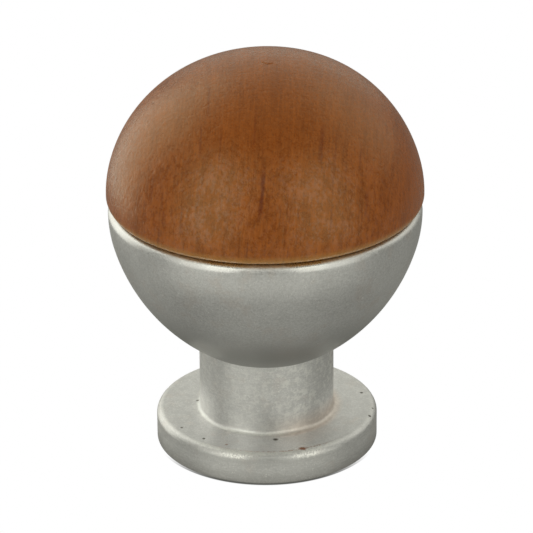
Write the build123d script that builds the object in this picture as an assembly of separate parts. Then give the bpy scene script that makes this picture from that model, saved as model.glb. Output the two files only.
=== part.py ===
"""Cabinet knob in two pieces: a turned wooden cap glued into a cast metal base.

The base is one zinc casting: a foot flange that bears on the door, a straight neck and a cup that carries the
cap. It is tapped from below for the machine screw that holds the knob. The cap is a turned dome with a spigot
that stands on the floor of the cup's recess, which leaves a fine shadow line between the wood and the rim.

Frame: millimetres, the knob's axis is +Z, and the origin is the centre of the foot's bearing face.
"""
from build123d import *
import os
from math import acos, cos, degrees, radians, sin

# ---- cap: the turned wooden dome ----------------------------------------------------------------------------
CAP_DIAMETER = 30.0          # widest circle of the wood
CAP_EDGE_ROUND = 1.0         # round where the dome turns under to the shoulder
CAP_EDGE_SWEEP = 53.0        # degrees of arc from the widest circle down to the shoulder's corner
CAP_FLANK_RADIUS = 10.7      # lower, nearly upright part of the dome
CAP_FLANK_SWEEP = 13.8       # degrees of arc from the widest circle to the end of the flank
CAP_HAUNCH_RADIUS = 13.9     # turn between the flank and the crown
CAP_CROWN_START = 68.8       # degrees above level where the flatter crown takes over
SPIGOT_CLEARANCE = 0.1       # glue film between the spigot and the recess, all round
SPIGOT_CHAMFER = 0.6         # lead-in on the end of the spigot

# ---- seam between the two pieces ------------------------------------------------------------------------------
RIM_HEIGHT = 24.55           # top of the cup's rim above the door
SEAM_GAP = 0.25              # shadow line between the rim and the cap's shoulder
CAP_OVERHANG = 0.15          # how far the wood stands out past the metal, all round

# ---- cup ------------------------------------------------------------------------------------------------------
RIM_ROUND = 0.75             # round on the rim's outer edge
CUP_FLANK_RADIUS = 11.3      # upper part of the cup's outside, below the rim
CUP_FLANK_SWEEP = 15.9       # degrees of arc from the rim down to the end of the flank
CUP_THROAT_RADIUS = 18.2     # flatter arc that runs in to the neck
RECESS_DIAMETER = 23.0       # socket for the cap's spigot
RECESS_DEPTH = 6.0           # from the rim down to the seat
RECESS_CORNER = 0.4          # round where the socket's wall meets the seat

# ---- neck and foot --------------------------------------------------------------------------------------------
NECK_DIAMETER = 12.9
NECK_ROOT_ROUND = 0.4        # fillet where the neck meets the foot
FOOT_DIAMETER = 21.3
FOOT_THICKNESS = 3.1
FOOT_TOP_ROUND = 0.7         # round on the foot's upper edge
FOOT_LOWER_ROUND = 0.15      # broken edge beside the door

# ---- underside: cored ring and tapped hole --------------------------------------------------------------------
BEARING_WIDTH = 2.4          # ring of the foot that bears on the door
CORE_DEPTH = 1.2             # depth of the cored ring between the bearing ring and the boss
CORE_CORNER = 0.3            # casting round inside the cored ring
BOSS_DIAMETER = 8.0          # boss round the tapped hole, level with the bearing ring
TAP_DRILL_DIAMETER = 3.3     # core diameter of an M4 thread
TAP_DEPTH = 12.0             # full-diameter depth of the hole
TAP_POINT_ANGLE = 118.0      # drill point
TAP_CHAMFER = 0.4            # countersink at the mouth, just past the thread's crests

# ---- worked out from the sizes above --------------------------------------------------------------------------
CAP_RADIUS = CAP_DIAMETER / 2
CUP_RADIUS = CAP_RADIUS - CAP_OVERHANG
NECK_RADIUS = NECK_DIAMETER / 2
FOOT_RADIUS = FOOT_DIAMETER / 2
RECESS_RADIUS = RECESS_DIAMETER / 2
SPIGOT_RADIUS = RECESS_RADIUS - SPIGOT_CLEARANCE
BOSS_RADIUS = BOSS_DIAMETER / 2
TAP_RADIUS = TAP_DRILL_DIAMETER / 2
SEAT_HEIGHT = RIM_HEIGHT - RECESS_DEPTH
SHOULDER_HEIGHT = RIM_HEIGHT + SEAM_GAP


def polar(radius, angle):
    """Vector of a length and an angle in degrees, in the half-profile's plane."""
    return Vector(radius * cos(radians(angle)), radius * sin(radians(angle)))


def make_wooden_cap():
    """Turned dome of tangent arcs, with its spigot below the shoulder."""
    widest = SHOULDER_HEIGHT + CAP_EDGE_ROUND * sin(radians(CAP_EDGE_SWEEP))
    edge_centre = Vector(CAP_RADIUS - CAP_EDGE_ROUND, widest)
    shoulder_corner = edge_centre + polar(CAP_EDGE_ROUND, -CAP_EDGE_SWEEP)
    flank_centre = Vector(CAP_RADIUS - CAP_FLANK_RADIUS, widest)
    haunch_centre = flank_centre + polar(CAP_FLANK_RADIUS - CAP_HAUNCH_RADIUS, CAP_FLANK_SWEEP)
    crown_edge = haunch_centre + polar(CAP_HAUNCH_RADIUS, CAP_CROWN_START)
    crown_radius = crown_edge.X / cos(radians(CAP_CROWN_START))
    crown_centre = crown_edge - polar(crown_radius, CAP_CROWN_START)
    apex = crown_centre + polar(crown_radius, 90)

    with BuildPart() as cap:
        with BuildSketch(Plane.XZ):
            with BuildLine():
                Polyline(
                    apex,
                    (0, SEAT_HEIGHT),
                    (SPIGOT_RADIUS - SPIGOT_CHAMFER, SEAT_HEIGHT),
                    (SPIGOT_RADIUS, SEAT_HEIGHT + SPIGOT_CHAMFER),
                    (SPIGOT_RADIUS, SHOULDER_HEIGHT),
                    shoulder_corner,
                )
                CenterArc(edge_centre, CAP_EDGE_ROUND, -CAP_EDGE_SWEEP, CAP_EDGE_SWEEP)
                CenterArc(flank_centre, CAP_FLANK_RADIUS, 0, CAP_FLANK_SWEEP)
                CenterArc(haunch_centre, CAP_HAUNCH_RADIUS, CAP_FLANK_SWEEP, CAP_CROWN_START - CAP_FLANK_SWEEP)
                CenterArc(crown_centre, crown_radius, CAP_CROWN_START, 90 - CAP_CROWN_START)
            make_face()
        revolve(axis=Axis.Z)
    return cap.part


def casting_outline():
    """Closed half-profile of the casting before its socket, core and hole are cut."""
    widest = RIM_HEIGHT - RIM_ROUND
    rim_centre = Vector(CUP_RADIUS - RIM_ROUND, widest)
    flank_centre = Vector(CUP_RADIUS - CUP_FLANK_RADIUS, widest)
    throat_centre = flank_centre + polar(CUP_FLANK_RADIUS - CUP_THROAT_RADIUS, -CUP_FLANK_SWEEP)
    throat_end = -degrees(acos((NECK_RADIUS - throat_centre.X) / CUP_THROAT_RADIUS))
    neck_top = throat_centre + polar(CUP_THROAT_RADIUS, throat_end)
    foot_edge_centre = Vector(FOOT_RADIUS - FOOT_TOP_ROUND, FOOT_THICKNESS - FOOT_TOP_ROUND)
    lower_edge_centre = Vector(FOOT_RADIUS - FOOT_LOWER_ROUND, FOOT_LOWER_ROUND)
    neck_root_centre = Vector(NECK_RADIUS + NECK_ROOT_ROUND, FOOT_THICKNESS + NECK_ROOT_ROUND)

    with BuildSketch(Plane.XZ) as outline:
        with BuildLine():
            Polyline((rim_centre.X, RIM_HEIGHT), (0, RIM_HEIGHT), (0, 0), (lower_edge_centre.X, 0))
            CenterArc(lower_edge_centre, FOOT_LOWER_ROUND, -90, 90)
            Line((FOOT_RADIUS, FOOT_LOWER_ROUND), (FOOT_RADIUS, foot_edge_centre.Y))
            CenterArc(foot_edge_centre, FOOT_TOP_ROUND, 0, 90)
            Line((foot_edge_centre.X, FOOT_THICKNESS), (neck_root_centre.X, FOOT_THICKNESS))
            CenterArc(neck_root_centre, NECK_ROOT_ROUND, 180, 90)
            Line((NECK_RADIUS, neck_root_centre.Y), neck_top)
            CenterArc(throat_centre, CUP_THROAT_RADIUS, throat_end, -CUP_FLANK_SWEEP - throat_end)
            CenterArc(flank_centre, CUP_FLANK_RADIUS, -CUP_FLANK_SWEEP, CUP_FLANK_SWEEP)
            CenterArc(rim_centre, RIM_ROUND, 0, 90)
        make_face()
    return outline.sketch


def recess():
    """Socket for the spigot, with a cast round at its foot."""
    with BuildPart() as socket:
        with Locations((0, 0, SEAT_HEIGHT)):
            Cylinder(RECESS_RADIUS, RECESS_DEPTH, align=(Align.CENTER, Align.CENTER, Align.MIN))
        fillet(socket.edges().group_by(Axis.Z)[0], RECESS_CORNER)
    return socket.part


def underside_core():
    """Ring cored out of the foot between the bearing ring and the boss."""
    outer_radius = FOOT_RADIUS - BEARING_WIDTH
    with BuildPart() as core:
        Cylinder(outer_radius, CORE_DEPTH, align=(Align.CENTER, Align.CENTER, Align.MIN))
        Cylinder(BOSS_RADIUS, CORE_DEPTH, align=(Align.CENTER, Align.CENTER, Align.MIN), mode=Mode.SUBTRACT)
        fillet(core.edges().filter_by(GeomType.CIRCLE).group_by(Axis.Z)[-1], CORE_CORNER)
    return core.part


def tapped_hole():
    """Blind hole at the thread's core diameter, with its countersink and drill point."""
    point_depth = TAP_RADIUS / sin(radians(TAP_POINT_ANGLE / 2)) * cos(radians(TAP_POINT_ANGLE / 2))
    with BuildPart() as hole:
        with BuildSketch(Plane.XZ):
            with BuildLine():
                Polyline(
                    (0, 0),
                    (TAP_RADIUS + TAP_CHAMFER, 0),
                    (TAP_RADIUS, TAP_CHAMFER),
                    (TAP_RADIUS, TAP_DEPTH),
                    (0, TAP_DEPTH + point_depth),
                    close=True,
                )
            make_face()
        revolve(axis=Axis.Z)
    return hole.part


def make_metal_base():
    """The casting: foot, neck and cup in one piece, cut for the cap and for the screw."""
    with BuildPart() as base:
        add(casting_outline())
        revolve(axis=Axis.Z)
        add(recess(), mode=Mode.SUBTRACT)
        add(underside_core(), mode=Mode.SUBTRACT)
        add(tapped_hole(), mode=Mode.SUBTRACT)
    return base.part


def main():
    """Write one STEP file for each piece."""
    pieces = {
        "metal_base": make_metal_base(),
        "wooden_cap": make_wooden_cap(),
    }
    os.makedirs("parts", exist_ok=True)
    for name, shape in pieces.items():
        export_step(shape, f"parts/{name}.step")
        box = shape.bounding_box()
        print(f"{name}: volume {shape.volume:.1f} mm3, height {box.min.Z:.2f} to {box.max.Z:.2f} mm")


main()
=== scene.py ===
"""A cabinet knob: a turned, lacquered wooden cap seated in a satin metal cup on a neck and a round foot.

The classes hold their sizes in millimetres. Each piece is drawn as a half-profile, turned about the knob's
axis, marked and brought to metres when it is finished. The front of the knob faces -Y.
"""
import logging
import math
from dataclasses import dataclass
from enum import Enum
from typing import Optional, Sequence, Union

import bmesh
import bpy
from mathutils import Matrix, Vector


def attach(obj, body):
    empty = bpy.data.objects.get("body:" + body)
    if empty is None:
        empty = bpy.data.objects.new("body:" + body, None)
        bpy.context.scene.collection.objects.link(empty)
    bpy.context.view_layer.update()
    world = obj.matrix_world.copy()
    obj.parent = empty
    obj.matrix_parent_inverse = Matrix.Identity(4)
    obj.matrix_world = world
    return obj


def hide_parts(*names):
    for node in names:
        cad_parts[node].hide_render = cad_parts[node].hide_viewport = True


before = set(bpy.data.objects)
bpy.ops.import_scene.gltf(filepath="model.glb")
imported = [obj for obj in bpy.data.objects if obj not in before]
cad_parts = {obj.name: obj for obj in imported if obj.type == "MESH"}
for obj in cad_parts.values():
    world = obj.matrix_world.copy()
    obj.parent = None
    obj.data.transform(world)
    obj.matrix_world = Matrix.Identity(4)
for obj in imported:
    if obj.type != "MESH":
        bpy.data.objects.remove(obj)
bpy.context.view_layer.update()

MM = 0.001
BODY = "root"
FULL_TURN = 2 * math.pi
TURN_STEPS = 256
MERGE_GAP = 1e-4
STRAIGHT_CORNER = math.radians(170.0)
SHARP_EDGE = math.radians(38.0)
MARK_MESH = 0.05
MARK_MARGIN = 0.35
MARK_ROUNDS = 3
WANDER_SIZE = 0.25
WHITE = (1.0, 1.0, 1.0, 1.0)
WARM_WHITE = (1.0, 0.995, 0.88)
log = logging.getLogger("knob")

Colour = tuple[float, float, float, float]
Point = tuple[float, float, float]
Socket = bpy.types.NodeSocket
Feed = Union[float, Sequence[float], Socket]


class Node(Enum):
    """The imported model's solids."""

    WOODEN_CAP = "wooden_cap"
    METAL_BASE = "metal_base"


class Slot(Enum):
    """The material slots of the knob's record."""

    METAL = "satin_metal"
    WOOD = "lacquered_wood"


# ---- tools of the bench ----------------------------------------------------------------------------------


def polar(centre: Vector, radius: float, angle: float) -> Vector:
    """Finds a point of the half-profile from a centre.

    Args:
        centre: radius and height of the centre, in millimetres.
        radius: distance from the centre, in millimetres.
        angle: degrees above level.

    Returns:
        Radius and height of the point.
    """
    turn = math.radians(angle)
    return centre + Vector((radius * math.cos(turn), radius * math.sin(turn)))


def around(radius: float, azimuth: float, height: float) -> Point:
    """Finds a point by its place round the knob.

    Args:
        radius: distance from the knob's axis, in millimetres.
        azimuth: degrees from the front towards the right.
        height: millimetres above the foot's bearing face.

    Returns:
        The point's x, y and z.
    """
    turn = math.radians(azimuth)
    return (radius * math.sin(turn), -radius * math.cos(turn), height)


def even(size: float) -> Point:
    """Gives the same size along all three axes."""
    return (size, size, size)


class Lathe:
    """Draws a half-profile, turns it about the knob's axis and marks its surface."""

    def __init__(self) -> None:
        """Sets up an empty mesh."""
        self.mesh = bmesh.new()
        self.tip: Optional[bmesh.types.BMVert] = None

    def start(self, radius: float, height: float) -> None:
        """Puts down the profile's first point."""
        self.tip = self.mesh.verts.new((radius, 0.0, height))

    def line(self, radius: float, height: float, steps: int = 1) -> None:
        """Draws a straight line from the profile's last point.

        Args:
            radius: radius of the line's end, in millimetres.
            height: height of the line's end, in millimetres.
            steps: pieces that the line is made of.
        """
        step = (Vector((radius, 0.0, height)) - self.tip.co) / steps
        for _ in range(steps):
            made = bmesh.ops.extrude_vert_indiv(self.mesh, verts=[self.tip])
            self.tip = made["verts"][0]
            bmesh.ops.translate(self.mesh, verts=[self.tip], vec=step)

    def arc(self, centre: Vector, sweep: float, steps: int) -> None:
        """Carries the profile's last point round a centre.

        Args:
            centre: radius and height of the arc's centre, in millimetres.
            sweep: degrees of arc, positive from outwards to upwards.
            steps: pieces that the arc is made of.
        """
        made = bmesh.ops.spin(
            self.mesh, geom=[self.tip], cent=(centre.x, 0.0, centre.y), axis=(0.0, -1.0, 0.0),
            angle=math.radians(sweep), steps=steps,
        )
        self.tip = next(part for part in made["geom_last"] if isinstance(part, bmesh.types.BMVert))

    def turn(self) -> None:
        """Spins the half-profile to a closed solid with its faces outwards."""
        profile = self.mesh.verts[:] + self.mesh.edges[:]
        bmesh.ops.spin(
            self.mesh, geom=profile, cent=(0, 0, 0), axis=(0, 0, 1), angle=FULL_TURN,
            steps=TURN_STEPS, use_merge=True,
        )
        bmesh.ops.remove_doubles(self.mesh, verts=self.mesh.verts[:], dist=MERGE_GAP)
        bmesh.ops.recalc_face_normals(self.mesh, faces=self.mesh.faces[:])

    def press(self, path: Sequence[Point], width: float, depth: float) -> None:
        """Presses a smooth furrow, or a pit where the path is one point, into the surface.

        Args:
            path: the furrow's corners, in millimetres.
            width: distance from the path at which the furrow ends, in millimetres.
            depth: depth of the furrow's floor, in millimetres; below zero it raises a ridge.
        """
        corners = [Vector(point) for point in path]
        for _ in range(MARK_ROUNDS):
            near = self.near(corners, width + MARK_MARGIN)
            coarse = {
                edge for vert, gap in near.items() for edge in vert.link_edges
                if edge.calc_length() > MARK_MESH and gap < width + edge.calc_length()
            }
            if not coarse:
                break
            bmesh.ops.subdivide_edges(self.mesh, edges=list(coarse), cuts=1, use_grid_fill=True)
        self.mesh.normal_update()
        shares = {vert: gap / width for vert, gap in self.near(corners, width).items()}
        moves = {vert: vert.normal * (-depth * (1.0 - share ** 2) ** 2) for vert, share in shares.items()}
        for vert, move in moves.items():
            vert.co += move

    def near(self, corners: Sequence[Vector], reach: float) -> dict[bmesh.types.BMVert, float]:
        """Finds the mesh's points near a path.

        Args:
            corners: the path's corners, in millimetres.
            reach: how far from the path to look, in millimetres.

        Returns:
            Each point found, with its distance from the path.
        """
        runs = list(zip(corners, corners[1:])) or [(corners[0], corners[0])]
        middle = sum(corners, Vector()) / len(corners)
        ball = reach + max((corner - middle).length for corner in corners)
        found = {}
        for vert in self.mesh.verts:
            if (vert.co - middle).length > ball:
                continue
            gaps = []
            for first, last in runs:
                run = last - first
                share = max(0.0, min(1.0, (vert.co - first).dot(run) / (run.length_squared or 1.0)))
                gaps.append((vert.co - first - run * share).length)
            if min(gaps) < reach:
                found[vert] = min(gaps)
        return found

    def split_uneven_faces(self) -> None:
        """Cuts faces with more than four corners, or with a nearly straight one, to even triangles."""
        uneven = [
            face for face in self.mesh.faces
            if len(face.verts) > 4 or any(loop.calc_angle() > STRAIGHT_CORNER for loop in face.loops)
        ]
        bmesh.ops.triangulate(self.mesh, faces=uneven, quad_method="BEAUTY", ngon_method="BEAUTY")
        bmesh.ops.dissolve_degenerate(self.mesh, dist=MERGE_GAP, edges=self.mesh.edges[:])

    def finish(self, name: str) -> bpy.types.Object:
        """Brings the mesh to metres and makes it an object at the origin.

        Args:
            name: the piece's name.

        Returns:
            The piece's object.
        """
        self.split_uneven_faces()
        bmesh.ops.scale(self.mesh, verts=self.mesh.verts[:], vec=(MM, MM, MM))
        for face in self.mesh.faces:
            face.smooth = True
        for edge in self.mesh.edges:
            edge.smooth = edge.calc_face_angle(0.0) < SHARP_EDGE
        data = bpy.data.meshes.new(name)
        self.mesh.to_mesh(data)
        self.mesh.free()
        piece = bpy.data.objects.new(name, data)
        bpy.context.scene.collection.objects.link(piece)
        return piece


class FinishBench:
    """Lays out the nodes of one finish and wires them together."""

    def __init__(self, name: str) -> None:
        """Starts a material whose patterns are placed in millimetres on the piece.

        Args:
            name: the material's name.
        """
        self.material = bpy.data.materials.new(name)
        self.material.use_nodes = True
        self.tree = self.material.node_tree
        self.tree.nodes.clear()
        corner = self.tree.nodes.new("ShaderNodeTexCoord").outputs["Object"]
        scale = self.add("ShaderNodeMapping", {"Vector": corner, "Scale": even(1 / MM)})
        self.place = scale.outputs["Vector"]
        split = self.add("ShaderNodeSeparateXYZ", {"Vector": self.place})
        self.x, self.y, self.z = (split.outputs[axis] for axis in "XYZ")

    def add(self, kind: str, feeds: Optional[dict] = None, **settings: object) -> bpy.types.Node:
        """Adds a node.

        Args:
            kind: the node's type name.
            feeds: values or sockets for its inputs, by name or number.
            settings: the node's own options.

        Returns:
            The new node.
        """
        node = self.tree.nodes.new(kind)
        for option, value in settings.items():
            setattr(node, option, value)
        for key, value in (feeds or {}).items():
            if isinstance(value, Socket):
                self.tree.links.new(value, node.inputs[key])
            else:
                node.inputs[key].default_value = value
        return node

    def calc(self, operation: str, *terms: Feed) -> Socket:
        """Works out one step of arithmetic on numbers or sockets."""
        return self.add("ShaderNodeMath", dict(enumerate(terms)), operation=operation).outputs[0]

    def both(self, *masks: Feed) -> Socket:
        """Multiplies masks or shares, so that all of them have to hold.

        Args:
            masks: the masks or shares.

        Returns:
            Their product.
        """
        joined = masks[0]
        for mask in masks[1:]:
            joined = self.calc("MULTIPLY", joined, mask)
        return joined

    def either(self, masks: Sequence[Socket]) -> Socket:
        """Joins masks, so that the strongest counts.

        Args:
            masks: the masks to join.

        Returns:
            The joined mask.
        """
        joined = masks[0]
        for mask in masks[1:]:
            joined = self.calc("MAXIMUM", joined, mask)
        return joined

    def total(self, *parts: tuple[Socket, float]) -> Socket:
        """Adds up patterns, each times its weight.

        Args:
            parts: pairs of a pattern and its weight.

        Returns:
            The weighted sum.
        """
        pattern, weight = parts[0]
        summed = self.calc("MULTIPLY", pattern, weight)
        for pattern, weight in parts[1:]:
            summed = self.calc("MULTIPLY_ADD", pattern, weight, summed)
        return summed

    def off_axis(self) -> Socket:
        """Measures the distance from the knob's axis, in millimetres."""
        level = self.add("ShaderNodeCombineXYZ", {"X": self.x, "Y": self.y})
        return self.add("ShaderNodeVectorMath", {0: level.outputs[0]}, operation="LENGTH").outputs["Value"]

    def fade(self, value: Feed, low: float, high: float, first: float = 0.0, last: float = 1.0) -> Socket:
        """Turns a range of values into a soft step.

        Args:
            value: what is stepped.
            low: value at which the step starts.
            high: value at which it ends.
            first: result at the start.
            last: result at the end.

        Returns:
            The stepped value.
        """
        feeds = {"Value": value, "From Min": low, "From Max": high, "To Min": first, "To Max": last}
        return self.add("ShaderNodeMapRange", feeds, interpolation_type="SMOOTHSTEP").outputs[0]

    def band(self, value: Feed, start: float, full: float, wane: float, end: float) -> Socket:
        """Masks a range of values that fades in and out at its ends.

        Args:
            value: what is masked.
            start: value at which the band starts.
            full: value at which it is at its full strength.
            wane: value at which it starts to weaken.
            end: value at which it ends.

        Returns:
            1 in the band, 0 outside.
        """
        return self.both(self.fade(value, start, full), self.fade(value, end, wane))

    def blend(self, share: Feed, first: Feed, second: Feed, kind: str = "MIX") -> Socket:
        """Mixes two colours.

        Args:
            share: 0 for the first colour, 1 for the second.
            first: the colour underneath.
            second: the colour laid over it.
            kind: how they are mixed.

        Returns:
            The mixed colour.
        """
        node = self.add("ShaderNodeMix", {0: share, 6: first, 7: second}, data_type="RGBA", blend_type=kind)
        return node.outputs[2]

    def lay(self, ground: Feed, colour: Feed, *masks: Feed) -> Socket:
        """Lays a colour over another where all the masks show it."""
        return self.blend(self.both(*masks), ground, colour)

    def grain(self, size: Point, detail: float = 3.0, roughness: float = 0.55, shift: float = 0.0,
              place: Optional[Socket] = None) -> Socket:
        """Makes a noise whose flecks have a given size.

        Args:
            size: length of a fleck along each axis, in millimetres.
            detail: finer layers laid over the first.
            roughness: strength of the finer layers.
            shift: moves the pattern, so that two of one size differ.
            place: coordinates to use instead of the piece's own.

        Returns:
            The noise, from 0 to 1 and mostly near a half.
        """
        feeds = {"Vector": place or self.place, "Scale": size, "Location": even(shift)}
        spread = self.add("ShaderNodeMapping", feeds, vector_type="TEXTURE")
        feeds = {"Vector": spread.outputs[0], "Scale": 1.0, "Detail": detail, "Roughness": roughness}
        return self.add("ShaderNodeTexNoise", feeds, noise_dimensions="3D").outputs[0]

    def spot(self, centre: Point, radii: Point, core: float = 0.2, ragged: float = 0.0) -> Socket:
        """Masks a soft, egg-shaped place.

        Args:
            centre: the middle of the place, in millimetres.
            radii: its reach along each axis, in millimetres.
            core: share of the reach that is wholly inside.
            ragged: millimetres by which its outline wanders.

        Returns:
            1 inside, 0 outside.
        """
        place = self.wander(ragged) if ragged else self.place
        feeds = {"Vector": place, "Location": centre, "Scale": radii}
        held = self.add("ShaderNodeMapping", feeds, vector_type="TEXTURE")
        length = self.add("ShaderNodeVectorMath", {0: held.outputs[0]}, operation="LENGTH")
        return self.fade(length.outputs["Value"], core, 1.0, 1.0, 0.0)

    def wander(self, amount: float) -> Socket:
        """Shifts the coordinates by a small noise.

        Args:
            amount: the longest shift along each axis, in millimetres.

        Returns:
            Coordinates on which what is drawn has a ragged outline.
        """
        feeds = {"Vector": self.place, "Scale": 1.0 / WANDER_SIZE, "Detail": 2.0}
        noise = self.add("ShaderNodeTexNoise", feeds, noise_dimensions="3D").outputs["Color"]
        feeds = {0: noise, 1: even(2 * amount), 2: self.place}
        moved = self.add("ShaderNodeVectorMath", feeds, operation="MULTIPLY_ADD").outputs[0]
        return self.add("ShaderNodeVectorMath", {0: moved, 1: even(amount)}, operation="SUBTRACT").outputs[0]

    def relief(self, height: Feed, reach: float, strength: float,
               under: Optional[Socket] = None) -> Socket:
        """Turns a height into a bump, over another bump where one is given.

        Args:
            height: the pattern of heights.
            reach: millimetres between the pattern's 0 and 1.
            strength: how much of the bump is seen.
            under: the bump that this one lies on.

        Returns:
            The bumped normal.
        """
        feeds = {"Height": height, "Distance": reach * MM, "Strength": strength}
        if under is not None:
            feeds["Normal"] = under
        return self.add("ShaderNodeBump", feeds).outputs[0]

    def surface(self, feeds: dict) -> bpy.types.Material:
        """Closes the finish with its surface shader.

        Args:
            feeds: values or sockets for the shader's inputs, by name.

        Returns:
            The finished material.
        """
        shader = self.add("ShaderNodeBsdfPrincipled", feeds)
        output = self.add("ShaderNodeOutputMaterial")
        self.tree.links.new(shader.outputs[0], output.inputs["Surface"])
        return self.material


def dress(piece: bpy.types.Object, material: bpy.types.Material,
          stands_for: Sequence[Node] = ()) -> None:
    """Gives a piece its finish and ties it to the knob.

    Args:
        piece: the finished object.
        material: its finish.
        stands_for: the solids that the piece is shown instead of.
    """
    piece.data.materials.append(material)
    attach(piece, BODY)
    for node in stands_for:
        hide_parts(node.value)


# ---- finishes --------------------------------------------------------------------------------------------


@dataclass(frozen=True)
class Streak:
    """A dark line that a growth ring draws on the cap's front.

    Its place across the front, its height, reach and width are in millimetres; its depth is a share.
    """

    across: float
    height: float
    reach: float
    width: float
    depth: float


@dataclass(frozen=True)
class LacqueredWood:
    """Stained, fine-grained hardwood under a satin lacquer, its fibres nearly upright."""

    name: str = "lacquered_wood"
    early_wood: Colour = (0.365, 0.087, 0.008, 1.0)
    late_wood: Colour = (0.22, 0.045, 0.003, 1.0)
    streak: Colour = (0.150, 0.016, 0.001, 1.0)
    pore: Colour = (0.16, 0.045, 0.012, 1.0)
    painted_edge_highlight: Colour = (0.64, 0.36, 0.11, 1.0)
    lacquer_tint: Colour = (1.0, 0.86, 0.45, 1.0)
    specular: float = 0.78
    roughness: float = 0.30
    roughness_spread: float = 0.10
    coat: float = 0.64
    coat_roughness: float = 0.24
    coat_floor: float = 0.6
    mottle_middle: float = 0.55
    mottle_everywhere: float = 0.3
    front_glint_mottle: float = 0.6
    pore_share: float = 0.45
    knock_share: float = 0.7
    edge_highlight_share: float = 0.52
    edge_height: float = 24.95
    crown_nick: Point = (0.32, -1.21, 38.9)
    dark_knock: Point = (-7.0, -5.9, 36.4)
    ring_lean: float = 0.1
    ring_level: float = 31.0
    streaks: tuple[Streak, ...] = (
        Streak(-0.3, 31.2, 2.5, 0.30, 0.95),
        Streak(-5.7, 37.0, 1.0, 0.20, 0.5),
        Streak(-6.2, 34.7, 1.3, 0.18, 0.5),
        Streak(-4.4, 34.6, 1.4, 0.16, 0.4),
        Streak(-1.4, 35.8, 1.6, 0.20, 0.4),
        Streak(4.8, 34.4, 1.7, 0.34, 0.55),
        Streak(6.1, 33.0, 2.8, 0.16, 0.35),
        Streak(6.2, 28.6, 1.4, 0.14, 0.5),
        Streak(9.4, 29.1, 1.6, 0.30, 0.5),
        Streak(8.5, 32.8, 1.1, 0.18, 0.4),
        Streak(-10.2, 30.4, 1.5, 0.16, 0.4),
        Streak(-9.0, 27.9, 1.0, 0.14, 0.5),
        Streak(-7.4, 28.4, 1.3, 0.14, 0.45),
        Streak(-1.2, 26.4, 1.0, 0.14, 0.5),
        Streak(2.5, 26.0, 0.9, 0.14, 0.5),
    )

    def make(self) -> bpy.types.Material:
        """Builds the finish.

        Returns:
            The material.
        """
        bench = FinishBench(self.name)
        fall = bench.calc("SUBTRACT", self.ring_level, bench.z)
        across = bench.calc("MULTIPLY_ADD", fall, self.ring_lean, bench.x)
        wood = bench.add("ShaderNodeCombineXYZ", {"X": across, "Y": bench.y, "Z": bench.z}).outputs[0]

        bands = bench.grain((0.9, 12.0, 26.0), detail=2.0, roughness=0.5, shift=4.0, place=wood)
        lines = bench.grain((0.17, 2.5, 7.0), detail=2.0, roughness=0.6, place=wood)
        fibres = bench.grain((0.13, 0.5, 2.4), detail=3.0, roughness=0.6, shift=1.0, place=wood)
        pores = bench.grain((0.13, 0.3, 2.2), detail=2.0, shift=6.0, place=wood)
        flecks = bench.grain((0.45, 0.45, 0.65), detail=3.0, roughness=0.75, shift=9.0)
        patches = bench.grain((1.2, 1.2, 1.7), detail=2.0, roughness=0.6, shift=14.0)
        clouds = bench.grain((4.0, 5.0, 7.0), detail=1.0, shift=2.0)
        drops = bench.grain((0.31, 0.31, 0.38), detail=3.0, roughness=0.65, shift=17.0)
        front = bench.both(bench.fade(bench.z, 36.0, 32.0), bench.fade(bench.y, -6.0, -11.0))

        tone = bench.total((lines, 0.34), (bands, 0.22), (fibres, 0.28), (clouds, 0.12))
        mottle = bench.calc("SUBTRACT", bench.total((patches, 0.4), (flecks, 0.7)), self.mottle_middle)
        # The colour mottle is wood figure everywhere; its extra strength on the front paints glossy flecks of
        # reflection.
        figure_and_glint = bench.calc("MULTIPLY_ADD", front, self.front_glint_mottle, self.mottle_everywhere)
        tone = bench.calc("MULTIPLY_ADD", mottle, figure_and_glint, tone)
        ground = bench.blend(bench.fade(tone, 0.29, 0.67), self.late_wood, self.early_wood)
        ground = bench.lay(ground, self.pore, bench.fade(pores, 0.60, 0.72), self.pore_share)
        ground = bench.lay(ground, self.streak, self.draw_streaks(bench, across))
        knocks = bench.either([
            bench.spot(self.crown_nick, (0.22, 0.2, 0.5), 0.3, 0.05),
            bench.spot(self.dark_knock, (0.16, 0.2, 0.2), 0.3),
        ])
        ground = bench.lay(ground, self.pore, knocks, self.knock_share)
        # Painted highlight: a gold band along the cap's lower edge, fading out upwards.
        edge = bench.fade(bench.z, self.edge_height - 0.05, self.edge_height + 0.80, self.edge_highlight_share, 0.0)
        ground = bench.lay(ground, self.painted_edge_highlight, edge)

        # The lacquer's glossy beads count for more than the floor only where the front lifts them.
        smooth, rough = self.roughness - self.roughness_spread, self.roughness + self.roughness_spread
        beads = bench.fade(bench.total((drops, 0.8), (patches, 0.35)), 0.54, 0.67, 0.0, self.coat)
        lifted = bench.calc("MULTIPLY_ADD", front, self.coat_floor, beads)
        coat = bench.calc("MAXIMUM", bench.calc("SUBTRACT", lifted, self.coat_floor), 0.0)
        return bench.surface({
            "Base Color": ground,
            "Roughness": bench.fade(flecks, 0.3, 0.7, smooth, rough),
            "Normal": bench.relief(flecks, 0.06, 1.0, bench.relief(fibres, 0.012, 1.0)),
            "Specular IOR Level": self.specular,
            "Specular Tint": self.lacquer_tint,
            "Coat Weight": coat,
            "Coat Roughness": self.coat_roughness,
        })

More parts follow.
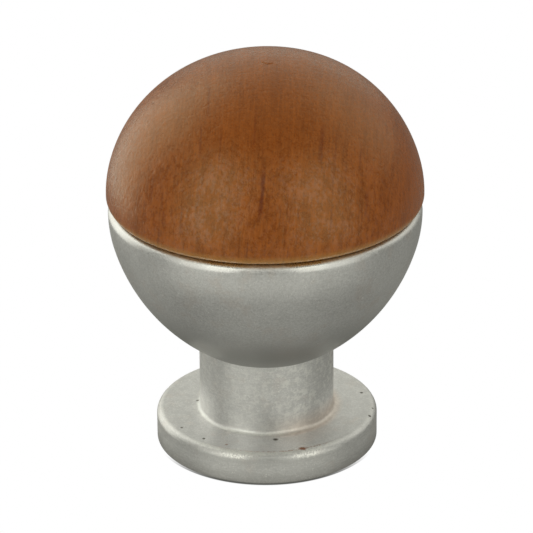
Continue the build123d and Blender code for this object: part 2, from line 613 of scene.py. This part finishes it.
    def draw_streaks(self, bench: FinishBench, across: Socket) -> Socket:
        """Masks the named streaks on the front of the cap.

        Args:
            bench: the bench that the finish is laid out on.
            across: place across the growth rings, in millimetres.

        Returns:
            The streaks' strength at each place.
        """
        rough = bench.grain((0.4, 1.0, 1.2), detail=2.0, shift=12.0)
        wavy = bench.calc("MULTIPLY_ADD", rough, 0.3, bench.calc("SUBTRACT", across, 0.15))
        masks = []
        for streak in self.streaks:
            off_line = bench.calc("ABSOLUTE", bench.calc("SUBTRACT", wavy, streak.across))
            off_middle = bench.calc("ABSOLUTE", bench.calc("SUBTRACT", bench.z, streak.height))
            thin = bench.fade(off_line, 0.1 * streak.width, streak.width, streak.depth, 0.0)
            short = bench.fade(off_middle, 0.4 * streak.reach, streak.reach, 1.0, 0.0)
            masks.append(bench.both(thin, short))
        return bench.both(bench.either(masks), bench.fade(bench.y, 0.0, -2.0))


@dataclass(frozen=True)
class Mark:
    """A small place on the casting.

    Its azimuth is in degrees and its core is a share of its reach; the rest is in millimetres.
    """

    radius: float
    azimuth: float
    height: float
    reach: Point
    core: float = 0.4
    ragged: float = 0.06


class CastingBench(FinishBench):
    """A bench with the patterns and masks that all the layers of the metal's finish share."""

    def __init__(self, name: str) -> None:
        """Starts the material and lays out what the layers share.

        Args:
            name: the material's name.
        """
        super().__init__(name)
        self.radius = self.off_axis()
        self.facing = self.calc("DIVIDE", self.y, self.radius)
        self.blast = self.grain(even(0.22), detail=2.0, roughness=0.9)
        self.brushed = self.grain((1.0, 1.0, 0.17), detail=3.0, roughness=0.75, shift=7.0)
        self.wear = self.fade(self.grain(even(0.3), detail=3.0, roughness=0.7, shift=8.0), 0.40, 0.60)
        self.lathed = self.fade(self.z, 11.0, 9.6)
        self.foot_edge = self.band(self.z, 2.86, 3.0, 3.5, 4.0)
        root_edge = self.band(self.z, 2.8, 3.0, 3.15, 3.35)
        self.edges = self.either([
            self.both(self.fade(self.z, 24.1, 24.35), self.fade(self.radius, 14.0, 14.15)),
            self.both(self.foot_edge, self.fade(self.radius, 9.92, 10.08)),
            self.both(root_edge, self.fade(self.radius, 6.9, 6.7)),
        ])

    def marks(self, places: Sequence[Mark]) -> list[Socket]:
        """Masks each of some small places.

        Args:
            places: the places to mask.

        Returns:
            One mask for each place.
        """
        return [
            self.spot(around(mark.radius, mark.azimuth, mark.height), mark.reach, mark.core, mark.ragged)
            for mark in places
        ]


@dataclass(frozen=True)
class SatinMetal:
    """Bead-blasted nickel on a zinc casting, worn on its edges and specked on its foot, with painted light
    and shade.
    """

    name: str = "satin_metal"
    bright: Colour = (0.775, 0.775, 0.785, 1.0)
    dull: Colour = (0.60, 0.60, 0.605, 1.0)
    turned: Colour = (0.10, 0.10, 0.10, 1.0)
    throat: Colour = (0.33, 0.33, 0.32, 1.0)
    worn_and_highlight: Colour = (0.98, 0.98, 0.96, 1.0)
    copper: Colour = (0.62, 0.47, 0.38, 1.0)
    rust: Colour = (0.22, 0.058, 0.008, 1.0)
    dark_tone: Colour = (0.07, 0.06, 0.045, 1.0)
    roughness: float = 0.37
    roughness_spread: float = 0.06
    lathed_roughness: float = 0.08
    edge_roughness: float = 0.07
    rim_roughness: float = 0.05
    sheen_roughness: float = -0.11
    glint_share: float = 0.55
    wall_darkening: float = 0.42
    shoulder_share: float = 0.22
    throat_share: float = 0.85
    root_share: float = 0.15
    root_warmth: float = 0.4
    mark_share: float = 0.95
    rust_radius: float = 9.97
    # Painted highlights on the foot's front edge, to the left and right of its middle.
    highlight_spots: tuple[Mark, ...] = (
        Mark(10.4, -16.5, 2.86, (2.3, 1.4, 0.50), 0.3, 0.4),
        Mark(10.4, 20.5, 2.86, (2.5, 1.5, 0.50), 0.3, 0.4),
    )
    specks: tuple[Mark, ...] = (
        Mark(7.53, 6.1, 3.1, even(0.33)),
        Mark(9.49, 103.0, 3.1, even(0.20)),
        Mark(10.27, 84.0, 3.0, even(0.17)),
        Mark(10.21, 75.0, 3.0, even(0.22)),
        Mark(9.52, -59.0, 3.1, even(0.16)),
        Mark(9.37, -40.0, 3.1, even(0.20)),
        Mark(6.77, -96.0, 3.2, even(0.22)),
        Mark(14.3, -64.4, 24.35, even(0.12)),
    )
    rust_spots: tuple[Mark, ...] = (
        Mark(9.9, 19.6, 3.08, (0.50, 0.34, 0.4), 0.4, 0.12),
        Mark(9.26, -24.6, 3.1, (0.22, 0.12, 0.2), 0.3, 0.10),
    )

    def make(self) -> bpy.types.Material:
        """Builds the finish.

        Returns:
            The material.
        """
        bench = CastingBench(self.name)
        ground = self.plate(bench)
        ground = self.turn_neck(bench, ground)
        ground = self.shade(bench, ground)
        ground = self.rub(bench, ground)
        specks = bench.either(bench.marks(self.specks))
        stains = bench.either([self.rust_line(bench)] + bench.marks(self.rust_spots))
        ground = bench.lay(ground, self.dark_tone, specks, self.mark_share)
        ground = bench.lay(ground, self.rust, stains, self.mark_share)
        return bench.surface({
            "Base Color": ground,
            "Metallic": bench.calc("SUBTRACT", 1.0, bench.calc("MAXIMUM", specks, stains)),
            "Roughness": self.gloss(bench),
            "Normal": bench.relief(bench.blast, 0.007, 1.0, bench.relief(bench.brushed, 0.006, 0.5)),
        })

    def plate(self, bench: CastingBench) -> Socket:
        """Colours the blasted plating, with a faint warmth where it is thin.

        Args:
            bench: the bench that the finish is laid out on.

        Returns:
            The plating's colour.
        """
        clouds = bench.grain(even(2.2), detail=3.0, shift=3.0)
        thin = bench.grain(even(2.6), detail=3.0, roughness=0.7, shift=21.0)
        tone = bench.total((bench.blast, 0.85), (clouds, 0.15))
        ground = bench.blend(bench.fade(tone, 0.28, 0.72), self.dull, self.bright)
        return bench.lay(ground, self.copper, bench.fade(thin, 0.50, 0.72, 0.0, 0.16))

    def turn_neck(self, bench: CastingBench, ground: Socket) -> Socket:
        """Brightens the neck and foot, as turned after casting, with painted glints and painted neck
        highlights.

        Args:
            bench: the bench that the finish is laid out on.
            ground: the colour underneath.

        Returns:
            The colour with these layers on it.
        """
        glints = bench.fade(bench.grain(even(0.13), detail=1.0, shift=5.0), 0.60, 0.76)
        mottle = bench.fade(bench.grain(even(0.55), detail=3.0, roughness=0.7, shift=23.0), 0.46, 0.62)
        neck = bench.fade(bench.radius, 7.4, 7.0)
        ground = bench.blend(bench.lathed, ground, self.turned, "SCREEN")
        ground = bench.lay(ground, self.dull, bench.lathed, bench.fade(bench.brushed, 0.40, 0.60, 0.0, 0.5))
        # Painted glints: fine bright specks over the whole casting.
        ground = bench.lay(ground, self.worn_and_highlight, glints, self.glint_share)
        # Painted highlights: patches of light on the neck, stronger on its right.
        right_share = bench.fade(bench.x, -3.5, 3.5, 0.20, 0.50)
        return bench.lay(ground, self.worn_and_highlight, mottle, bench.lathed, neck, right_share)

    def shade(self, bench: CastingBench, ground: Socket) -> Socket:
        """Paints shade on the foot's shoulder and in the cup's throat, and darkens the foot's wall towards
        its bottom.

        Args:
            bench: the bench that the finish is laid out on.
            ground: the colour underneath.

        Returns:
            The colour with these layers on it.
        """
        wall = bench.both(bench.fade(bench.z, 2.0, -0.4), bench.fade(bench.radius, 10.2, 10.5))
        shoulder = bench.both(bench.band(bench.z, 1.2, 2.6, 2.86, 3.02), bench.fade(bench.radius, 10.1, 10.3))
        throat = bench.both(bench.band(bench.z, 6.0, 9.0, 12.0, 18.0), bench.fade(bench.radius, 6.5, 6.7))
        left_share = bench.fade(bench.x, 9.0, 5.0, 0.1, 1.0)
        # The foot's wall is darker towards its bottom.
        ground = bench.lay(ground, self.dark_tone, wall, self.wall_darkening)
        # Painted shade on the foot's shoulder, most on its left, and in the cup's throat.
        ground = bench.lay(ground, self.throat, shoulder, left_share, self.shoulder_share)
        return bench.lay(ground, self.throat, throat, self.throat_share)

    def rub(self, bench: CastingBench, ground: Socket) -> Socket:
        """Brightens worn edges and paints highlights on their front, two places and the neck's root, warm to
        the right.

        Args:
            bench: the bench that the finish is laid out on.
            ground: the colour underneath.

        Returns:
            The colour with these layers on it.
        """
        rubbing = bench.calc("MULTIPLY_ADD", bench.wear, 0.5, 0.5)
        front_highlight_share = bench.fade(bench.facing, -0.65, -0.92, 0.2, 1.0)
        highlight_spots = bench.either(bench.marks(self.highlight_spots))
        root = bench.both(bench.band(bench.z, 2.8, 3.0, 3.4, 5.6), bench.fade(bench.radius, 7.6, 6.6))
        # The edges are brighter where worn, and brighter still on the front as painted highlight.
        ground = bench.lay(ground, self.worn_and_highlight, bench.edges, rubbing, front_highlight_share)
        # Painted highlights on two places of the foot's front edge.
        ground = bench.lay(ground, self.worn_and_highlight, highlight_spots, bench.fade(bench.blast, 0.38, 0.60))
        # Painted highlight along the neck's root; the copper tint on its right side is the plating's colour.
        ground = bench.lay(ground, self.worn_and_highlight, root, self.root_share)
        return bench.lay(ground, self.copper, root, bench.fade(bench.x, -1.0, 3.5), self.root_warmth)

    def rust_line(self, bench: CastingBench) -> Socket:
        """Masks the thin line of rust along the front of the foot's edge, strongest to the right.

        Args:
            bench: the bench that the finish is laid out on.

        Returns:
            The line's strength at each place.
        """
        off_line = bench.calc("ABSOLUTE", bench.calc("SUBTRACT", bench.radius, self.rust_radius))
        front = bench.fade(bench.facing, -0.75, -0.9)
        right_share = bench.fade(bench.x, -3.5, 2.0, 0.2, 0.75)
        line = bench.fade(off_line, 0.04, 0.16, 1.0, 0.0)
        return bench.both(line, bench.foot_edge, front, bench.wear, right_share)

    def gloss(self, bench: CastingBench) -> Socket:
        """Sets the roughness, with a sheen on the rim on each side of its middle.

        Args:
            bench: the bench that the finish is laid out on.

        Returns:
            The roughness.
        """
        smooth, rough = self.roughness - self.roughness_spread, self.roughness + self.roughness_spread
        low_edges = bench.both(bench.edges, bench.fade(bench.z, 8.0, 6.0))
        rim = bench.both(bench.fade(bench.z, 23.6, 24.1), bench.fade(bench.radius, 14.0, 14.15))
        sheens = bench.band(bench.calc("ABSOLUTE", bench.x), 1.0, 3.2, 4.4, 6.6)
        on_rim = bench.fade(sheens, 0.0, 1.0, self.rim_roughness, self.sheen_roughness)
        roughness = bench.fade(bench.blast, 0.3, 0.7, smooth, rough)
        roughness = bench.calc("MULTIPLY_ADD", low_edges, self.edge_roughness, roughness)
        roughness = bench.calc("MULTIPLY_ADD", rim, on_rim, roughness)
        return bench.calc("MULTIPLY_ADD", bench.lathed, self.lathed_roughness, roughness)


# ---- pieces ----------------------------------------------------------------------------------------------


@dataclass
class TurnedCap:
    """The wooden cap: a dome of four tangent arcs over a chamfered spigot."""

    radius: float = 15.0
    edge_round: float = 1.0
    edge_sweep: float = 53.0
    flank_radius: float = 10.7
    flank_sweep: float = 13.8
    haunch_radius: float = 13.9
    crown_start: float = 68.8
    shoulder_height: float = 24.8
    seat_height: float = 18.55
    spigot_radius: float = 11.4
    spigot_chamfer: float = 0.6
    lean: float = 0.27
    nick_path: tuple[Point, ...] = ((-0.14, -0.78, 39.0), (0.32, -1.21, 38.98), (0.78, -0.97, 38.98))
    nick_width: float = 0.16
    nick_depth: float = 0.09

    def build(self) -> bpy.types.Object:
        """Turns the cap and cuts its small nick.

        Returns:
            The cap's object.
        """
        widest = self.shoulder_height + self.edge_round * math.sin(math.radians(self.edge_sweep))
        edge = Vector((self.radius - self.edge_round, widest))
        flank = Vector((self.radius - self.flank_radius, widest))
        haunch = polar(flank, self.flank_radius - self.haunch_radius, self.flank_sweep)
        crown_edge = polar(haunch, self.haunch_radius, self.crown_start)
        crown_radius = crown_edge.x / math.cos(math.radians(self.crown_start))
        crown = polar(crown_edge, -crown_radius, self.crown_start)

        lathe = Lathe()
        lathe.start(0.0, self.seat_height)
        lathe.line(self.spigot_radius - self.spigot_chamfer, self.seat_height, 3)
        lathe.line(self.spigot_radius, self.seat_height + self.spigot_chamfer)
        lathe.line(self.spigot_radius, self.shoulder_height, 4)
        corner = polar(edge, self.edge_round, -self.edge_sweep)
        lathe.line(corner.x, corner.y, 3)
        lathe.arc(edge, self.edge_sweep, 8)
        lathe.arc(flank, self.flank_sweep, 8)
        lathe.arc(haunch, self.crown_start - self.flank_sweep, 40)
        lathe.arc(crown, 90.0 - self.crown_start, 26)
        lathe.turn()
        self.lean_crown(lathe, widest)
        lathe.press(self.nick_path, self.nick_width, self.nick_depth)
        return lathe.finish("turned_cap")

    def lean_crown(self, lathe: Lathe, widest: float) -> None:
        """Draws the dome slightly to the right towards its top, as hand sanding has left it.

        Args:
            lathe: the lathe that holds the turned cap.
            widest: height of the cap's widest circle, in millimetres.
        """
        top = max(vert.co.z for vert in lathe.mesh.verts)
        for vert in lathe.mesh.verts:
            rise = max(0.0, (vert.co.z - widest) / (top - widest))
            vert.co.x += self.lean * rise ** 3

@dataclass(frozen=True)
class Pit:
    """A small pit in the casting or, where its depth is below zero, a raised grain.

    Its azimuth is in degrees and the rest is in millimetres.
    """

    radius: float
    azimuth: float
    height: float
    width: float
    depth: float


@dataclass
class CastBase:
    """The casting: a foot cored from below, a straight neck and the cup that holds the cap."""

    rim_height: float = 24.55
    rim_round: float = 0.75
    cup_radius: float = 14.85
    flank_radius: float = 11.3
    flank_sweep: float = 15.9
    throat_radius: float = 18.2
    recess_radius: float = 11.5
    recess_corner: float = 0.4
    seat_height: float = 18.55
    neck_radius: float = 6.45
    neck_root_round: float = 0.4
    foot_radius: float = 10.65
    foot_thickness: float = 3.1
    foot_top_round: float = 0.7
    foot_lower_round: float = 0.15
    core_radius: float = 8.25
    core_depth: float = 1.2
    core_corner: float = 0.3
    boss_radius: float = 4.0
    thread_crest: float = 1.65
    thread_root: float = 2.0
    thread_pitch: float = 0.7
    thread_start: float = 0.45
    thread_turns: int = 15
    thread_steps: int = 32
    ridge_half: float = 0.308
    crest_half: float = 0.03
    ridge_bite: float = 0.05
    hole_end_relief: float = 0.2
    hole_mouth: float = 0.05
    tap_depth: float = 12.0
    tap_point: float = 59.0
    pits: tuple[Pit, ...] = (
        Pit(7.53, 6.1, 3.1, 0.20, 0.10),
        Pit(9.90, 19.6, 3.08, 0.24, 0.05),
        Pit(9.49, 103.0, 3.1, 0.2, 0.08),
        Pit(10.21, 75.0, 3.0, 0.22, 0.07),
        Pit(9.37, -40.0, 3.1, 0.2, 0.07),
        Pit(11.42, 24.6, 14.66, 0.18, -0.05),
        Pit(10.65, 0.5, 0.94, 0.16, -0.04),
        Pit(14.02, 39.4, 19.47, 0.14, -0.04),
    )

    def build(self) -> list[bpy.types.Object]:
        """Makes the casting, with its pits and raised grains, and the thread in it.

        Returns:
            The base's objects, the casting first.
        """
        lathe = Lathe()
        self.draw_underside(lathe)
        self.draw_outside(lathe)
        self.draw_recess(lathe)
        lathe.turn()
        for pit in self.pits:
            lathe.press([around(pit.radius, pit.azimuth, pit.height)], pit.width, pit.depth)
        return [lathe.finish("cast_base"), self.cut_thread()]

    def draw_underside(self, lathe: Lathe) -> None:
        """Draws the screw hole, the boss, the cored ring and the bearing ring.

        Args:
            lathe: the lathe that holds the profile.
        """
        point = self.thread_crest / math.tan(math.radians(self.tap_point))
        ceiling = self.core_depth - self.core_corner
        lathe.start(0.0, self.tap_depth + point)
        lathe.line(self.thread_crest, self.tap_depth, 2)
        lathe.line(self.thread_root, self.tap_depth - self.hole_end_relief)
        lathe.line(self.thread_root, self.hole_mouth, 8)
        lathe.line(self.thread_root + self.hole_mouth, 0.0)
        lathe.line(self.boss_radius, 0.0, 2)
        lathe.line(self.boss_radius, ceiling, 2)
        lathe.arc(Vector((self.boss_radius + self.core_corner, ceiling)), -90.0, 4)
        lathe.line(self.core_radius - self.core_corner, self.core_depth, 4)
        lathe.arc(Vector((self.core_radius - self.core_corner, ceiling)), -90.0, 4)
        lathe.line(self.core_radius, 0.0, 2)
        lathe.line(self.foot_radius - self.foot_lower_round, 0.0, 4)

    def draw_outside(self, lathe: Lathe) -> None:
        """Draws the foot's wall and face, the neck and the cup's outside up to the rim.

        Args:
            lathe: the lathe that holds the profile.
        """
        top_round, root = self.foot_top_round, self.neck_root_round
        widest = self.rim_height - self.rim_round
        flank = Vector((self.cup_radius - self.flank_radius, widest))
        throat = polar(flank, self.flank_radius - self.throat_radius, -self.flank_sweep)
        throat_end = math.degrees(math.acos((self.neck_radius - throat.x) / self.throat_radius))
        neck_top = polar(throat, self.throat_radius, -throat_end)

        lathe.arc(Vector((self.foot_radius - self.foot_lower_round, self.foot_lower_round)), 90.0, 4)
        lathe.line(self.foot_radius, self.foot_thickness - top_round, 8)
        lathe.arc(Vector((self.foot_radius - top_round, self.foot_thickness - top_round)), 90.0, 8)
        lathe.line(self.neck_radius + root, self.foot_thickness, 12)
        lathe.arc(Vector((self.neck_radius + root, self.foot_thickness + root)), -90.0, 6)
        lathe.line(neck_top.x, neck_top.y, 18)
        lathe.arc(throat, throat_end - self.flank_sweep, 30)
        lathe.arc(flank, self.flank_sweep, 14)
        lathe.arc(Vector((self.cup_radius - self.rim_round, widest)), 90.0, 8)

    def draw_recess(self, lathe: Lathe) -> None:
        """Draws the rim's flat and the socket for the cap's spigot.

        Args:
            lathe: the lathe that holds the profile.
        """
        corner = self.recess_corner
        lathe.line(self.recess_radius, self.rim_height, 3)
        lathe.line(self.recess_radius, self.seat_height + corner, 4)
        lathe.arc(Vector((self.recess_radius - corner, self.seat_height + corner)), -90.0, 4)
        lathe.line(0.0, self.seat_height, 4)

    def cut_thread(self) -> bpy.types.Object:
        """Winds the thread's ridge up the screw hole.

        Returns:
            The thread's object.
        """
        foot = self.thread_root + self.ridge_bite
        ridge = Lathe()
        ridge.start(foot, self.thread_start - self.ridge_half)
        ridge.line(self.thread_crest, self.thread_start - self.crest_half)
        ridge.line(self.thread_crest, self.thread_start + self.crest_half)
        ridge.line(foot, self.thread_start + self.ridge_half)
        bmesh.ops.contextual_create(ridge.mesh, geom=ridge.mesh.verts[:])
        profile = ridge.mesh.faces[:] + ridge.mesh.edges[:] + ridge.mesh.verts[:]
        bmesh.ops.spin(
            ridge.mesh, geom=profile, cent=(0, 0, 0), axis=(0, 0, 1), angle=FULL_TURN * self.thread_turns,
            dvec=(0, 0, self.thread_pitch / self.thread_steps), steps=self.thread_steps * self.thread_turns,
        )
        bmesh.ops.recalc_face_normals(ridge.mesh, faces=ridge.mesh.faces[:])
        return ridge.finish("screw_thread")


# ---- studio ----------------------------------------------------------------------------------------------


@dataclass(frozen=True)
class Softbox:
    """One soft panel of light that faces the knob, with its angles in degrees and its lengths in metres."""

    name: str
    azimuth: float
    elevation: float
    width: float
    height: float
    brightness: float
    distance: float = 0.45

    def hang(self, target: Vector) -> None:
        """Hangs the panel round the knob.

        Args:
            target: the point that the panel faces, in metres.
        """
        data = bpy.data.lights.new(self.name, "AREA")
        data.shape = "RECTANGLE"
        data.size, data.size_y = self.width, self.height
        data.color = WARM_WHITE
        data.energy = self.brightness * math.pi * self.width * self.height
        panel = bpy.data.objects.new(self.name, data)
        bpy.context.scene.collection.objects.link(panel)
        level = self.distance * math.cos(math.radians(self.elevation))
        rise = self.distance * math.sin(math.radians(self.elevation))
        panel.location = target + Vector(around(level, self.azimuth, rise))
        panel.rotation_euler = (target - panel.location).to_track_quat("-Z", "Y").to_euler()


@dataclass
class Studio:
    """A pale floor, soft panels of light and the camera."""

    aim: Point = (0.000072, -0.00012, 0.0178)
    camera_place: Point = (0.0, -0.301693, 0.158489)
    camera_roll: float = -0.4675
    lens: float = 236.3
    sensor: float = 36.0
    nearest_seen: float = 0.01
    farthest_seen: float = 20.0
    air_light: float = 0.24
    floor_radius: float = 3.0
    floor_drop: float = 0.02
    foot_radius: float = 10.65
    contact_width: float = 0.22
    contact_shade: Colour = (0.10, 0.10, 0.09, 1.0)
    panels: tuple[Softbox, ...] = (
        Softbox("front_left_panel", -42.0, 21.0, 0.36, 0.58, 1.02),
        Softbox("front_right_panel", 42.0, 19.0, 0.40, 0.56, 0.85),
        Softbox("left_panel", -128.0, 18.0, 0.42, 0.62, 1.20),
        Softbox("right_panel", 120.0, 33.0, 0.36, 0.40, 0.62),
        Softbox("back_panel", 174.0, 27.0, 0.42, 0.46, 0.47),
        Softbox("overhead_panel", 180.0, 75.0, 0.40, 0.30, 0.20),
        Softbox("low_front_bounce", 2.0, -32.0, 0.44, 0.28, 0.32),
        Softbox("low_left_bounce", -50.0, -30.0, 0.34, 0.28, 0.31),
        Softbox("low_right_bounce", 50.0, -30.0, 0.34, 0.28, 0.19),
        Softbox("low_left_side", -105.0, -30.0, 0.44, 0.28, 0.12),
        Softbox("low_right_side", 105.0, -30.0, 0.44, 0.28, 0.06),
        Softbox("under_bounce", 0.0, -75.0, 0.40, 0.40, 0.07),
    )

    def set_up(self) -> None:
        """Builds the floor, the air round it, the lights and the camera."""
        self.lay_floor()
        self.fill_air()
        target = Vector(self.aim)
        for panel in self.panels:
            panel.hang(target)
        self.place_camera(target)

    def lay_floor(self) -> None:
        """Lays a round, pale floor just under the foot, with a painted contact shadow in a thin line along
        its front.
        """
        bench = FinishBench("pale_floor")
        radius = bench.off_axis()
        # Painted contact shadow: a dark ring just outside the foot, only along its front.
        contact = bench.fade(radius, self.foot_radius + 0.05, self.foot_radius + self.contact_width)
        away = bench.calc("MAXIMUM", contact, bench.fade(bench.y, -9.8, -4.0))
        pale = bench.blend(away, self.contact_shade, WHITE)
        glow = bench.add("ShaderNodeEmission", {"Color": pale, "Strength": 1.0})
        clear = bench.add("ShaderNodeBsdfTransparent")
        behind = bench.add("ShaderNodeNewGeometry").outputs["Backfacing"]
        shown = bench.add("ShaderNodeMixShader", {0: behind, 1: glow.outputs[0], 2: clear.outputs[0]})
        output = bench.add("ShaderNodeOutputMaterial")
        bench.tree.links.new(shown.outputs[0], output.inputs["Surface"])

        mesh = bmesh.new()
        bmesh.ops.create_circle(
            mesh, cap_ends=True, segments=96, radius=self.floor_radius,
            matrix=Matrix.Translation((0, 0, -self.floor_drop * MM)),
        )
        data = bpy.data.meshes.new("floor")
        mesh.to_mesh(data)
        mesh.free()
        data.materials.append(bench.material)
        floor = bpy.data.objects.new("floor", data)
        bpy.context.scene.collection.objects.link(floor)
        floor.visible_diffuse = False
        floor.visible_glossy = False
        floor.visible_shadow = False

    def fill_air(self) -> None:
        """Gives the room its dim, even light and a white backdrop."""
        scene = bpy.context.scene
        scene.world = scene.world or bpy.data.worlds.new("studio_air")
        scene.world.use_nodes = True
        nodes, links = scene.world.node_tree.nodes, scene.world.node_tree.links
        nodes.clear()
        air = nodes.new("ShaderNodeBackground")
        air.inputs["Color"].default_value = (*WARM_WHITE, 1.0)
        air.inputs["Strength"].default_value = self.air_light
        backdrop = nodes.new("ShaderNodeBackground")
        backdrop.inputs["Color"].default_value = WHITE
        shown = nodes.new("ShaderNodeMixShader")
        links.new(nodes.new("ShaderNodeLightPath").outputs["Is Camera Ray"], shown.inputs[0])
        links.new(air.outputs[0], shown.inputs[1])
        links.new(backdrop.outputs[0], shown.inputs[2])
        links.new(shown.outputs[0], nodes.new("ShaderNodeOutputWorld").inputs["Surface"])
        scene.view_settings.view_transform = "Standard"
        scene.view_settings.look = "None"

    def place_camera(self, target: Vector) -> None:
        """Stands the camera in front of the knob, a little above it.

        Args:
            target: the point at the middle of the view, in metres.
        """
        data = bpy.data.cameras.new("camera")
        data.sensor_width = self.sensor
        data.lens = self.lens
        data.clip_start, data.clip_end = self.nearest_seen, self.farthest_seen
        camera = bpy.data.objects.new("camera", data)
        bpy.context.scene.collection.objects.link(camera)
        camera.location = self.camera_place
        turn = (target - camera.location).to_track_quat("-Z", "Y").to_matrix().to_4x4()
        roll = Matrix.Rotation(math.radians(self.camera_roll), 4, "Z")
        camera.rotation_euler = (turn @ roll).to_euler()
        bpy.context.scene.camera = camera


def main() -> None:
    """Builds the knob piece by piece and sets up the studio round it."""
    logging.basicConfig(level=logging.INFO, format="%(name)s: %(message)s")
    wood = LacqueredWood().make()
    metal = SatinMetal().make()

    cap = TurnedCap().build()
    dress(cap, wood, [Node.WOODEN_CAP])
    casting, thread = CastBase().build()
    dress(casting, metal, [Node.METAL_BASE])
    dress(thread, metal)
    for piece in (cap, casting, thread):
        log.info("%s: %d faces", piece.name, len(piece.data.polygons))

    Studio().set_up()


if __name__ == "__main__":
    main()
